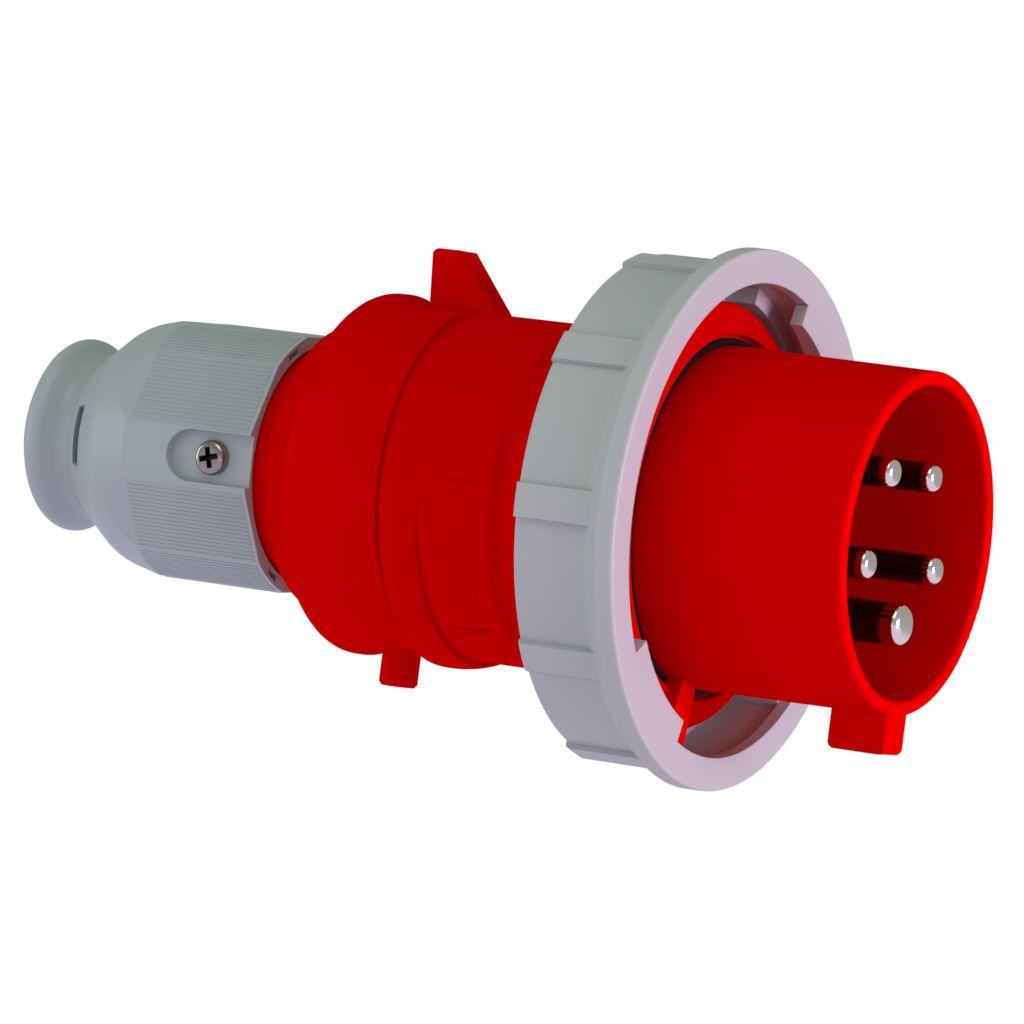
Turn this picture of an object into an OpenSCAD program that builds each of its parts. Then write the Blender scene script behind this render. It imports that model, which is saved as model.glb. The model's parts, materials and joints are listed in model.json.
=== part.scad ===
// Industrial pin and sleeve plug, five pole, with a bayonet locking ring and a cable gland.
// The axis of the plug is X, the shroud's mouth is at X = 0 and faces +X, the key points down.
// Angles round the axis go from +Y towards +Z, so 90 is up and 270 is down.

/* [View] */
// Which piece to draw

/* [Shroud] */
// Outside diameter of the shroud at its mouth
shroud_d = 56.5; // [54:0.1:58]
// Wall of the shroud at its mouth
shroud_wall = 2.4; // [2:0.1:3]
// Depth from the mouth to the floor that the pins stand on
shroud_depth = 38; // [36:0.5:42]
// Growth of the shroud's radius from its mouth to its root
shroud_draft = 0.35; // [0:0.05:0.6]
// Width of the key under the shroud
key_width = 7; // [5:0.5:9]
// Height of the key over the shroud
key_height = 6.4; // [5:0.2:8]
// Length of the key along the plug
key_length = 10.2; // [6:0.2:16]

/* [Pins] */
// Diameter of the phase and neutral pins
pin_d = 5; // [4:0.5:6]
// Diameter of the earth pin
earth_d = 7; // [6:0.5:8]
// Diameter of the circle that the pins stand on
pin_circle_d = 27; // [24:0.5:28]
// Distance of the phase pin tips behind the mouth
pin_setback = 2; // [1:0.5:6]
// Distance of the earth pin tip behind the mouth
earth_setback = 0.6; // [0.2:0.2:4]
// Diameter of the terminal barrels behind the phase pins
terminal_d = 8; // [7:0.5:8.5]
// Diameter of the hole that takes a wire
wire_d = 4.2; // [3:0.2:4.6]

/* [Locking ring] */
// Distance of the ring's front face behind the mouth
ring_setback = 32.4; // [31:0.2:34]
// Length of the ring along the plug
ring_length = 19.7; // [18:0.1:22]
// Diameter of the flange at the ring's front
ring_d = 90; // [86:0.5:94]
// Diameter over the grip ribs
rib_d = 86.6; // [84:0.2:88]
// Diameter of the panels between the ribs
panel_d = 84.8; // [83:0.2:86]
// Diameter of the ring's mouth
ring_mouth_d = 78.8; // [78:0.2:80]
// Number of grip ribs
rib_count = 10; // [6:1:14]
// Width of a grip rib round the ring, in degrees
rib_sweep = 7.5; // [5:0.5:10]
// Length of a bayonet ramp round the ring, in degrees
ramp_sweep = 34; // [28:1:38]
// Height of a bayonet ramp towards the axis
ramp_height = 3.7; // [3:0.1:3.8]
// Turn of the ring from locked to open, in degrees
ring_turn = 50; // [40:1:55]

/* [Front shell] */
// Diameter of the conical flange that the ring pulls on
flange_d = 71.4; // [70:0.2:73]
// Distance of the flange's full diameter behind the mouth
flange_setback = 40; // [39:0.2:41]
// Thickness of the flange at its full diameter
flange_thick = 5.5; // [4:0.1:5.6]
// Diameter that the stop lug reaches
lug_d = 77.2; // [76:0.1:78]
// Width of the stop lug round the shell, in degrees
lug_sweep = 10; // [8:1:12]
// Diameter of the shell behind the ring
shell_d = 58.4; // [58:0.1:60]
// Distance of the seam to the rear housing behind the mouth
seam_setback = 84.5; // [82:0.5:88]
// Length of the spigot that slides into the rear housing
spigot_length = 16.7; // [16:0.1:17]
// Height of the fin over the axis
fin_top = 39.2; // [36:0.2:42]
// Thickness of the fin
fin_thick = 5.6; // [4:0.2:7]
// Diameter of the locking peg
peg_d = 6.6; // [5:0.2:7]
// Reach of the locking peg from the axis
peg_reach = 35.4; // [33:0.2:37]

/* [Rear housing] */
// Largest diameter of the barrel
barrel_d = 61.8; // [60.8:0.2:63]
// Distance from the seam to the barrel's widest circle
barrel_length = 17.2; // [16:0.1:22]
// Radius of the rounded edge between the barrel and its end cone
barrel_round = 2.2; // [1.6:0.1:3]
// Half width of the openings for fin and peg, in degrees
notch_half = 17; // [14:1:20]
// Diameter of the neck where it enters the gland nut
neck_d = 40; // [39:0.2:40.2]
// Bore of the neck
neck_bore = 31; // [30:0.5:32]

/* [Gland] */
// Distance across the flats of the gland nut
nut_flats = 43.8; // [43.4:0.2:46]
// Distance across the blunted corners
nut_corners = 45.8; // [45.4:0.2:48]
// Distance from the nut's front face to the end of the bell mouth
nut_length = 51.2; // [50:0.1:60]
// Diameter of the bell mouth
bell_d = 33.7; // [32:0.1:36]
// Diameter of the cable hole in the nut
cable_hole = 21; // [19:0.5:22]
// Bore of the rubber grommet
cable_d = 14; // [10:0.5:16]
// Head diameter of the lock screw
screw_head_d = 6; // [5:0.2:6.4]

/* [Clearances] */
// Radial gap of the ring's bearing
bearing_gap = 0.08; // [0.03:0.01:0.1]
// Gap between pieces that move past each other
free_gap = 0.3; // [0.2:0.05:0.5]
// Gap between pieces that are fitted together
fit_gap = 0.1; // [0.05:0.05:0.2]

/* [Hidden] */
$fn = 96;

// colours
red = [0.72, 0.02, 0.02];
pale_grey = [0.68, 0.70, 0.68];
blue_grey = [0.55, 0.59, 0.60];
black = [0.07, 0.07, 0.075];
bright = [0.78, 0.77, 0.76];
brass = [0.75, 0.60, 0.30];

// shroud
shroud_r = shroud_d / 2;
root_r = shroud_r + shroud_draft;
cavity_r = shroud_r - shroud_wall;
cavity_root_r = cavity_r - 0.3;
rim_round = 0.9;
key_x = -0.3;
key_round = 1.2;
floor_thick = 4.5;
floor_back = shroud_depth + floor_thick;

// gasket groove round the root of the shroud
groove_front = flange_setback - 3.1;
groove_back = groove_front + 1.8;
groove_r = root_r + 1.8;

// flange, bearing land and collar groove
flange_r = flange_d / 2;
flange_back = flange_setback + flange_thick;
land_r = shell_d / 2 + 0.3;
ring_front = ring_setback;
ring_back = ring_setback + ring_length;
collar_front = ring_back + 0.4;
collar_width = 1.9;
collar_groove_r = 28;
lug_start = 250;
lug_front = flange_setback - 5.2;
lug_r = lug_d / 2;

// ring
ring_r = ring_d / 2;
rib_r = rib_d / 2;
panel_r = panel_d / 2;
mouth_r = ring_mouth_d / 2;
pocket_r = mouth_r + 0.7;
lip_thick = 2.2;
flange_width = 3.4;
slope_length = 3.2;
web_front = flange_back + free_gap;
web_wall = 2.2;
ring_bore_r = land_r + bearing_gap;
ramp_end = lug_start - 0.5;
ramp_r = mouth_r - ramp_height;
ramp_thin = 2.3;
ramp_thick = 4.3;
first_rib = 1;
inner_rib_r = flange_r + 1.5;
inner_rib_sweep = 40;
stop_start = lug_start + lug_sweep + ring_turn + 0.5;
stop_sweep = 9;

// shell behind the ring
shell_r = shell_d / 2;
bore_r = 25.8;
spigot_r = 27.9;
spigot_back = seam_setback + spigot_length;
ridge_front = ring_back + 12.4;
ridge_back = ridge_front + 2.8;
hollow_front = ridge_front - 5;
hollow_depth = 0.9;
recess_back = ridge_back + 8.2;
recess_depth = 0.7;
seam_gap = 0.9;
skirt_front = seam_setback + seam_gap;
belly_x = seam_setback - 1.5;
belly_half = 5.2;
belly_r = shell_r + 0.8;
belly_round = 16;
belly_drop = 1;
pad_back = seam_setback + 13.1;
pad_r = shell_r - 0.1;
notch_back = pad_back + free_gap;
fin_foot_rear = seam_setback + 10.4;
fin_rear = seam_setback + 11.3;
fin_front = seam_setback + 5.9;
fin_foot_front = seam_setback - 2.8;
fin_round = 1.3;
peg_x = seam_setback + 9.1;
peg_r = peg_d / 2;
peg_head_r = peg_r + 1.2;
peg_head_top = bore_r - 0.5;
peg_head_thick = 1.2;
spring_r = peg_head_top - peg_head_thick - 0.1;
spring_thick = 0.8;
spring_half = 2.5;
spring_sweep = 22;
snap_front = seam_setback + 6;
snap_width = 3;
snap_r = spigot_r + 0.6;
snap_half = 10;

boss_r = 18.2;
shell_points = [[cavity_r, rim_round], [shroud_r, rim_round], [root_r, groove_front - 0.3],
  [root_r, groove_back], [groove_r, groove_back], [groove_r, groove_front + 0.2],
  [groove_r + 0.2, groove_front], [flange_r - 0.3, flange_setback - 0.1],
  [flange_r, flange_setback + 0.4], [flange_r, flange_back - 0.4],
  [flange_r - 0.4, flange_back], [land_r, flange_back], [land_r, collar_front],
  [collar_groove_r, collar_front], [collar_groove_r, collar_front + collar_width],
  [shell_r, collar_front + collar_width], [shell_r, hollow_front],
  [shell_r - hollow_depth, hollow_front + 1.5],
  [shell_r - hollow_depth, ridge_front - 1.5], [shell_r, ridge_front],
  [shell_r, seam_setback - 0.5], [shell_r - 0.5, seam_setback],
  [spigot_r, seam_setback], [spigot_r, spigot_back - 0.8], [spigot_r - 0.8, spigot_back],
  [bore_r, spigot_back], [bore_r, floor_back], [boss_r + fit_gap, floor_back],
  [boss_r + fit_gap, shroud_depth], [cavity_root_r, shroud_depth]];

// contact carrier and its fixings
carrier_r = bore_r - fit_gap;
carrier_front = floor_back + 0.05;
carrier_back = floor_back + 17.8;
pin_r = pin_d / 2;
earth_r = earth_d / 2;
circle_r = pin_circle_d / 2;
terminal_r = terminal_d / 2;
earth_terminal_r = terminal_r + 1;
shoulder_x = floor_back + 3.5;
pin_step = 0.3;
terminal_neck_r = terminal_r - 0.6;
earth_neck_r = earth_terminal_r - 0.6;
terminal_back = carrier_back + 15.7;
clamp_x = carrier_back + 8.7;
wire_depth = 12;
wire_r = wire_d / 2;
clamp_r = 1.75;
plate_front = carrier_back + 0.05;
plate_thick = 1.6;
plate_r = 25;
fixing_r = 21.6;
fixing_angles = [90, 234, 306];
fixing_shank_r = 1.45;
fixing_head_r = 2.8;
phase_angles = [342, 54, 126, 198];

// rear housing
barrel_r = barrel_d / 2;
barrel_x = seam_setback + barrel_length;
barrel_front_r = shell_r + 0.4;
barrel_rise = barrel_r - barrel_front_r;
barrel_run = barrel_x - skirt_front;
barrel_sweep_r = (barrel_run * barrel_run + barrel_rise * barrel_rise) / (2 * barrel_rise);
edge_run = barrel_round * sin(45);
edge_drop = barrel_round - barrel_round * cos(45);
cone_foot = barrel_x + 7.2;
cone_foot_r = barrel_r - edge_drop - cone_foot + barrel_x + edge_run;
neck_r = neck_d / 2;
neck_start = barrel_x + 10.3;
nut_front = barrel_x + 13.3;
skirt_r = spigot_r + fit_gap;
seal_x = seam_setback + 14.9;
seal_width = 1.6;
seal_depth = 0.9;
thread_r = 18.8;
thread_start = nut_front + 4;
neck_back = nut_front + 19;
neck_bore_r = neck_bore / 2;

// gland nut, seen from its front face backwards
nut_r = nut_flats / 2;
corner_r = nut_corners / 2;
nut_mouth_r = neck_r + free_gap;
nut_thread_r = thread_r + fit_gap;
nut_seat = neck_back + 1.9;
seat_r = 18.5;
cone_start = nut_seat + 3.1;
cone_end = cone_start + 10.5;
cone_r = 13.6;
cable_hole_r = cable_hole / 2;
bell_back = nut_front + nut_length;
// dome: a shallow cone, a rounded crown and a steep cone
dome_x = nut_front + 25;
dome_tilt = 14;
dome_fall = 37;
dome_round = 9.6;
crown_x = bell_back - 18.4;
crown_r = corner_r - (crown_x - dome_x) * tan(dome_tilt);
crown_run = dome_round * tan((dome_fall - dome_tilt) / 2);
crown_front = crown_x - crown_run * cos(dome_tilt);
crown_front_r = crown_r + crown_run * sin(dome_tilt);
crown_back = crown_x + crown_run * cos(dome_fall);
crown_back_r = crown_r - crown_run * sin(dome_fall);
// throat: a hollow between the steep cone and the flank of the bell
flank = 42;
throat_round = 2.5;
throat_x = crown_x + 10.1;
throat_r = crown_r - (throat_x - crown_x) * tan(dome_fall);
throat_run = throat_round * tan((dome_fall + flank) / 2);
throat_front = throat_x - throat_run * cos(dome_fall);
throat_front_r = throat_r + throat_run * sin(dome_fall);
throat_back = throat_x + throat_run * cos(flank);
throat_back_r = throat_r + throat_run * sin(flank);
// bell: a round rim that falls to the cable hole
bell_r = bell_d / 2;
bell_round = 2.25;
bell_core_r = bell_r - bell_round;
bell_front_r = bell_core_r + bell_round * cos(flank);
bell_front = throat_x + (bell_front_r - throat_r) / tan(flank);
bell_setback = bell_front + bell_round * sin(flank);
rim_fall = 55;
rim_start = bell_setback + bell_round * sin(rim_fall);
rim_start_r = bell_core_r + bell_round * cos(rim_fall);
rim_end_r = rim_start_r - (bell_back - rim_start) * tan(rim_fall);
panel_x = nut_front + 16;
panel_half = 4.4;
panel_floor = 21.2;
panel_angle = 182;
lock_x = nut_front + 7.5;
lock_head_r = screw_head_d / 2;
lock_head_h = 1.8;
lock_shank_r = 1.4;
lock_tip = 17.6;
slot_x = crown_x + 5.6;
slot_width = 2;
slot_half = 18;
pocket_depth = 1.2;

// seals and clamp
o_ring_x = nut_front + 1.9;
o_ring_r = 0.65;
o_ring_half = 0.9;
o_ring_depth = 1.1;
slip_outer = 18.3;
slip_inner = 15.8;
slip_front = neck_back + 0.1;
slip_back = nut_seat - 0.3;
collet_front = nut_seat;
collet_inner = 12.8;
collet_back = cone_end - 0.5;
collet_ring = 3;
collet_fingers = 8;
finger_gap = 2;
grommet_front = neck_back - 12;
grommet_back = neck_back + 12;
grommet_r = neck_bore_r - 0.2;
grommet_tail_r = collet_inner - 0.2;
grommet_bore_r = cable_d / 2;

// a solid of revolution about the plug's axis, points are [radius, distance behind the mouth]
module turned(points, sweep = 360) {
  rotate([0, 90, 0]) rotate_extrude(angle = sweep) polygon([for (p = points) [p[0], -p[1]]]);
}

// part of such a solid, from an angle on, over a sweep
module sector(points, from, sweep) {
  rotate([from + 90, 0, 0]) turned(points, sweep);
}

// a rectangle from two radii and two distances
function band(r1, r2, x1, x2) = [[r1, x1], [r2, x1], [r2, x2], [r1, x2]];

// a rod along the plug, from one distance to another
module rod(r, x1, x2, fn = 48) {
  translate([-x2, 0, 0]) rotate([0, 90, 0]) cylinder(r = r, h = x2 - x1, $fn = fn);
}

// a rod away from the axis at an angle, from one radius to another
module spoke(angle, x, r, from, to, fn = 48) {
  rotate([angle - 90, 0, 0]) translate([-x, 0, from]) cylinder(r = r, h = to - from, $fn = fn);
}

// children placed on the pin circle
module on_circle(angle, radius) {
  translate([0, radius * cos(angle), radius * sin(angle)]) children();
}

// the front half of a circle in the profile plane, at a radius and a distance
module round_front(radius, distance, r) {
  translate([radius, -distance]) intersection() {
    circle(r = r);
    translate([-r, 0]) square([2 * r, r]);
  }
}

// outline of the shell: wall, cone, land, collar groove, body, spigot and floor
module shell_outline() {
  round_front(shroud_r - rim_round, rim_round, rim_round);
  round_front(cavity_r + rim_round, rim_round, rim_round);
  translate([cavity_r + rim_round, -rim_round]) square([shroud_wall - 2 * rim_round, rim_round]);
  polygon([for (p = shell_points) [p[0], -p[1]]]);
}

module key_block() {
  half = key_width / 2;
  low = -(shroud_r + key_height);
  difference() {
    translate([key_x - key_length, -half, low]) cube([key_length, key_width, key_height + 1]);
    // rounded lower corners at both ends
    for (end = [0, 1])
      translate([key_x - end * key_length, 0, low]) mirror([end == 1 ? 0 : 1, 0, 0])
        difference() {
          translate([-1, -half - 1, -1]) cube([key_round + 1, key_width + 2, key_round + 1]);
          translate([key_round, 0, key_round]) rotate([90, 0, 0])
            cylinder(r = key_round, h = key_width + 4, center = true, $fn = 32);
        }
  }
}

module fin() {
  half = fin_thick / 2;
  difference() {
    translate([0, half, 0]) rotate([90, 0, 0]) linear_extrude(fin_thick)
      polygon([[-fin_foot_rear, bore_r + 1.2], [-fin_rear, fin_top], [-fin_front, fin_top],
               [-fin_foot_front, shell_r - 0.4], [-fin_foot_front, bore_r + 1.2]]);
    // rounded top at the rear
    translate([-fin_rear, 0, fin_top]) difference() {
      translate([-1, -half - 1, -fin_round]) cube([fin_round + 1, fin_thick + 2, fin_round + 1]);
      translate([fin_round, 0, -fin_round]) rotate([90, 0, 0])
        cylinder(r = fin_round, h = fin_thick + 4, center = true, $fn = 32);
    }
  }
}

module front_shell() color(red) difference() {
  union() {
    rotate([0, 90, 0]) rotate_extrude() shell_outline();
    key_block();
    // stop lug on the cone
    sector([[root_r - 1, lug_front], [lug_r - 0.5, lug_front], [lug_r, lug_front + 0.5],
            [lug_r, flange_back - 1], [root_r - 1, flange_back - 1]], lug_start, lug_sweep);
    // belly that grows towards the underside
    translate([0, 0, -belly_drop]) rotate([0, 90, 0]) rotate_extrude() intersection() {
      translate([belly_r - belly_round, -belly_x]) circle(r = belly_round);
      translate([bore_r + 2.2, -seam_setback]) square([8, seam_setback - belly_x + belly_half]);
    }
    // pads that fill the openings of the rear housing, the lower one carries on the belly
    sector([[bore_r + 1, seam_setback - 1], [pad_r, seam_setback - 1], [pad_r, pad_back - 0.6],
            [pad_r - 0.6, pad_back], [bore_r + 1, pad_back]],
           90 - notch_half + 0.7, 2 * notch_half - 1.4);
    sector([[bore_r + 1, seam_setback - 1], [pad_r + 1.4, seam_setback - 1],
            [pad_r + 1.3, seam_setback + 1.2], [pad_r + 0.8, seam_setback + 3],
            [pad_r, seam_setback + 4.6], [pad_r, pad_back - 0.6], [pad_r - 0.6, pad_back],
            [bore_r + 1, pad_back]],
           270 - notch_half + 0.7, 2 * notch_half - 1.4);
    fin();
    // pads that the rear housing snaps over
    for (angle = [-snap_half, 180 - snap_half])
      sector([[bore_r + 1, snap_front], [spigot_r, snap_front], [snap_r, snap_front + 0.6],
              [snap_r, snap_front + snap_width - 1.2], [spigot_r, snap_front + snap_width],
              [bore_r + 1, snap_front + snap_width]], angle, 2 * snap_half);
  }
  // shallow finger recesses on both sides
  for (angle = [178, -54])
    sector([[shell_r + 2, recess_back + 1.4], [shell_r + 0.2, recess_back + 1.4],
            [shell_r - recess_depth, ridge_back + 0.4], [shell_r + 2, ridge_back]], angle, 56);
  // hole for the peg
  rotate([180, 0, 0]) translate([-peg_x, 0, bore_r - 3]) rotate([0, 0, 40])
    cylinder(r = peg_r + fit_gap, h = 10, $fn = 48);
  // screw holes in the floor
  for (angle = fixing_angles)
    on_circle(angle, fixing_r) rod(1.5, floor_back - 3.4, floor_back + 1, 24);
}

module ramp(from) {
  back = ring_front + ramp_thick;
  tilt = atan((ramp_thick - ramp_thin) / (mouth_r * 2 * sin(ramp_sweep / 2)));
  difference() {
    sector(band(ramp_r, pocket_r + 0.5, ring_front, back), from, ramp_sweep);
    // the face that pulls slopes along the ramp
    rotate([from + ramp_sweep / 2, 0, 0])
      translate([-ring_front - (ramp_thin + ramp_thick) / 2, mouth_r, 0]) rotate([0, tilt, 0])
        translate([-10, -15, -25]) cube([10, 30, 50]);
  }
}

module locking_ring() color(pale_grey) difference() {
  union() {
    // flange, slope and panels
    turned([[mouth_r, ring_front], [ring_r - 0.5, ring_front], [ring_r - 0.1, ring_front + 0.2],
            [ring_r, ring_front + 0.6], [ring_r, ring_front + flange_width],
            [panel_r, ring_front + flange_width + slope_length], [panel_r, ring_back - 0.7],
            [panel_r - 0.2, ring_back - 0.2], [panel_r - 0.7, ring_back],
            [pocket_r - 0.5, ring_back], [pocket_r - 0.5, web_front + web_wall],
            [ring_bore_r + 2.6, web_front + web_wall], [ring_bore_r + 2.6, ring_back],
            [ring_bore_r + 0.3, ring_back], [ring_bore_r, ring_back - 0.3],
            [ring_bore_r, web_front + 0.3], [ring_bore_r + 0.3, web_front],
            [pocket_r, web_front], [pocket_r, ring_front + lip_thick + 0.7],
            [mouth_r, ring_front + lip_thick]]);
    // grip ribs
    for (i = [0 : rib_count - 1])
      sector([[panel_r - 1, ring_front + flange_width], [ring_r - 0.2, ring_front + flange_width],
              [rib_r, ring_front + flange_width + 1.8], [rib_r, ring_back - 0.7],
              [rib_r - 0.2, ring_back - 0.2], [rib_r - 0.7, ring_back],
              [panel_r - 1, ring_back]],
             first_rib + 360 * i / rib_count - rib_sweep / 2, rib_sweep);
    for (i = [0 : 1]) ramp(ramp_end - ramp_sweep + 180 * i);
    // ribs behind the ramps
    for (i = [0 : 1])
      sector(band(inner_rib_r, pocket_r + 0.5, flange_setback, web_front + 0.5),
             ramp_end - ramp_sweep + 180 * i, i == 0 ? ramp_sweep : inner_rib_sweep);
    // stop at the open end of the turn
    sector(band(inner_rib_r, pocket_r + 0.5, ring_front + lip_thick, web_front + 0.5),
           stop_start, stop_sweep);
    // webs across the hollow back
    for (i = [0 : rib_count - 1])
      sector(band(ring_bore_r + 2, pocket_r, web_front + 1, ring_back - 0.8),
             first_rib + 360 * i / rib_count - 1, 2);
  }
}

module ring_retainer() color(red)
  sector([[collar_groove_r + fit_gap, collar_front + 0.1], [land_r + 2.3, collar_front + 0.1],
          [land_r + 2.5, collar_front + 0.4], [land_r + 2.5, collar_front + collar_width - 0.1],
          [collar_groove_r + fit_gap, collar_front + collar_width - 0.1]], 275, 350);

module face_gasket() color(black)
  sector(band(root_r + 0.05, groove_r - fit_gap, groove_front, groove_back - 0.05),
         lug_start + lug_sweep + 1, 358 - lug_sweep);

module contact_carrier() color(black) difference() {
  turned([[0, shroud_depth], [boss_r, shroud_depth], [boss_r, floor_back + 0.05],
          [carrier_r - 0.5, floor_back + 0.05], [carrier_r, floor_back + 0.5],
          [carrier_r, floor_back + 5], [carrier_r - 2, floor_back + 6],
          [carrier_r - 2, carrier_back], [5, carrier_back], [5, shoulder_x + 1],
          [0, shoulder_x + 1]]);
  for (angle = phase_angles) on_circle(angle, circle_r) {
    rod(pin_r - pin_step + fit_gap, shroud_depth - 1, shoulder_x + 1);
    rod(terminal_r + fit_gap, shoulder_x, carrier_back + 1);
  }
  on_circle(270, circle_r) {
    rod(earth_r - pin_step + fit_gap, shroud_depth - 1, shoulder_x + 1);
    rod(earth_terminal_r + fit_gap, shoulder_x, carrier_back + 1);
  }
  for (angle = fixing_angles)
    on_circle(angle, fixing_r) rod(fixing_shank_r + 0.2, floor_back - 1, carrier_back + 1, 24);
}

// a pin with its terminal barrel: radius, tip, barrel radius, barrel neck radius
module contact_pin(angle, r, tip, barrel, neck) color(bright) difference() {
  on_circle(angle, circle_r) difference() {
    turned([[0, tip], [r * 0.42, tip], [r * 0.72, tip + 0.35], [r * 0.93, tip + 1],
            [r, tip + 1.9], [r, shroud_depth], [r - pin_step, shroud_depth],
            [r - pin_step, shoulder_x + 0.05], [barrel, shoulder_x + 0.05],
            [barrel, carrier_back - 0.05], [neck, carrier_back - 0.05],
            [neck, terminal_back - 0.4], [neck - 0.4, terminal_back], [0, terminal_back]]);
    rod(wire_r, terminal_back - wire_depth, terminal_back + 1, 32);
  }
  spoke(angle, clamp_x, clamp_r, circle_r, circle_r + neck + 2, 24);
}

// a slotted clamping screw in a terminal
module clamp_screw(angle, neck) color(bright) difference() {
  union() {
    spoke(angle, clamp_x, clamp_r - 0.05, circle_r + wire_r - 0.8, circle_r + neck + 0.4, 24);
    spoke(angle, clamp_x, clamp_r + 0.9, circle_r + neck + 0.4, circle_r + neck + 1.9, 24);
  }
  rotate([angle - 90, 0, 0]) translate([-clamp_x - 3, -0.35, circle_r + neck + 1.2])
    cube([6, 0.7, 2]);
}

module terminal_screws() for (angle = phase_angles) clamp_screw(angle, terminal_neck_r);

module earth_terminal_screw() clamp_screw(270, earth_neck_r);

module retainer_plate() color(pale_grey) difference() {
  turned([[0, plate_front], [plate_r, plate_front], [plate_r, plate_front + plate_thick - 0.4],
          [plate_r - 0.4, plate_front + plate_thick], [0, plate_front + plate_thick]]);
  for (angle = phase_angles)
    on_circle(angle, circle_r) rod(terminal_neck_r + fit_gap, plate_front - 1, plate_front + 4);
  on_circle(270, circle_r) rod(earth_neck_r + fit_gap, plate_front - 1, plate_front + 4);
  for (angle = fixing_angles)
    on_circle(angle, fixing_r) rod(fixing_shank_r + 0.2, plate_front - 1, plate_front + 4, 24);
}

module carrier_screws() color(bright) for (angle = fixing_angles)
  on_circle(angle, fixing_r) difference() {
    union() {
      rod(fixing_shank_r, floor_back - 3, plate_front + plate_thick + 0.2, 24);
      rod(fixing_head_r, plate_front + plate_thick + 0.05, plate_front + plate_thick + 1.9, 32);
    }
    for (turn = [0, 90]) rotate([turn, 0, 0])
      translate([-plate_front - plate_thick - 3, -1.6, -0.35]) cube([2.2, 3.2, 0.7]);
  }

module lock_peg() color(red) union() {
  spoke(270, peg_x, peg_r, peg_head_top - 0.6, peg_reach - 0.6);
  rotate([180, 0, 0]) translate([-peg_x, 0, peg_reach - 0.6])
    cylinder(r1 = peg_r, r2 = peg_r - 0.5, h = 0.6, $fn = 48);
  spoke(270, peg_x, peg_head_r, peg_head_top - peg_head_thick, peg_head_top);
}

module peg_spring() color(bright) {
  sector(band(spring_r - spring_thick, spring_r, peg_x - spring_half, peg_x + spring_half),
         270 - spring_sweep, 2 * spring_sweep);
  // feet that stand on the bore
  for (angle = [270 - spring_sweep + 0.5, 270 + spring_sweep - 2.5])
    sector(band(spring_r - spring_thick / 2, bore_r - 0.05,
                peg_x - spring_half + 0.2, peg_x + spring_half - 0.2), angle, 2);
}

module housing_seal() color(black)
  turned(band(skirt_r - 0.05, skirt_r + seal_depth - 0.1, seal_x - seal_width / 2 + 0.1,
              seal_x + seal_width / 2 - 0.1));

module barrel_outline() {
  // long gentle rise from the skirt's front edge to the widest circle
  intersection() {
    translate([barrel_r - barrel_sweep_r, -barrel_x]) circle(r = barrel_sweep_r, $fn = 360);
    translate([skirt_r, -barrel_x]) square([8, barrel_run]);
  }
  // rounded edge
  intersection() {
    translate([barrel_r - barrel_round, -barrel_x]) circle(r = barrel_round);
    translate([skirt_r, -barrel_x - edge_run]) square([8, edge_run]);
  }
  // end cone with a narrow land at its foot, then down to the neck
  polygon([for (p = [[neck_bore_r, barrel_x - 1], [barrel_r - barrel_round, barrel_x - 1],
    [barrel_r - barrel_round, barrel_x + edge_run],
    [barrel_r - edge_drop, barrel_x + edge_run], [cone_foot_r, cone_foot],
    [cone_foot_r, cone_foot + 1], [neck_r + 0.3, neck_start - 0.2], [neck_r, neck_start],
    [neck_bore_r, neck_start]]) [p[0], -p[1]]]);
}

module rear_housing() color(red) difference() {
  union() {
    difference() {
      rotate([0, 90, 0]) rotate_extrude() barrel_outline();
      // inside of the barrel
      turned([[0, skirt_front - 1], [skirt_r + 0.5, skirt_front - 1],
              [skirt_r + 0.5, skirt_front], [skirt_r, skirt_front + 0.5],
              [skirt_r, barrel_x + 0.6], [neck_r + 2.5, barrel_x + 6.1],
              [neck_bore_r, neck_start - 2.8], [neck_bore_r, neck_start + 5.8],
              [0, neck_start + 5.8]]);
    }
    // neck with the O-ring groove and the thread
    turned([[neck_bore_r, neck_start - 2.2], [neck_r, neck_start - 2.2],
            [neck_r, o_ring_x - o_ring_half], [neck_r - o_ring_depth, o_ring_x - o_ring_half],
            [neck_r - o_ring_depth, o_ring_x + o_ring_half],
            [neck_r, o_ring_x + o_ring_half], [neck_r, thread_start - 0.2],
            [thread_r, thread_start],
            [thread_r, neck_back - 0.8], [thread_r - 0.8, neck_back],
            [neck_bore_r, neck_back]]);
  }
  // openings for the fin and the peg in the front edge
  for (angle = [90, 270])
    sector(band(skirt_r - 2, barrel_r + 2, skirt_front - 1, notch_back),
           angle - notch_half, 2 * notch_half);
  // slope behind each opening
  for (angle = [90, 270])
    sector([[skirt_r + 1.2, notch_back - 0.1], [barrel_r + 2, notch_back - 0.1],
            [barrel_r + 2, notch_back + 5.2]], angle - notch_half, 2 * notch_half);
  // groove for the seal
  turned(band(skirt_r - 1, skirt_r + seal_depth, seal_x - seal_width / 2,
              seal_x + seal_width / 2));
  // pockets that snap over the shell
  for (angle = [-snap_half - 2, 178 - snap_half])
    sector(band(skirt_r - 1, snap_r + fit_gap, snap_front - 0.2, snap_front + snap_width + 0.2),
           angle, 2 * snap_half + 4);
  // hole for the lock screw's tip
  spoke(panel_angle, lock_x, lock_shank_r + fit_gap, lock_tip - 0.4, neck_r + 1, 24);
}

module neck_o_ring() color(black) rotate([0, 90, 0]) rotate_extrude()
  translate([neck_r - o_ring_depth + o_ring_r + 0.05, -o_ring_x]) circle(r = o_ring_r, $fn = 32);

module hexagon(size, from, to) {
  rotate([3, 0, 0]) translate([-to, 0, 0]) rotate([0, 90, 0]) rotate([0, 0, 30])
    cylinder(r = size / cos(30), h = to - from, $fn = 6);
}

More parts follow.
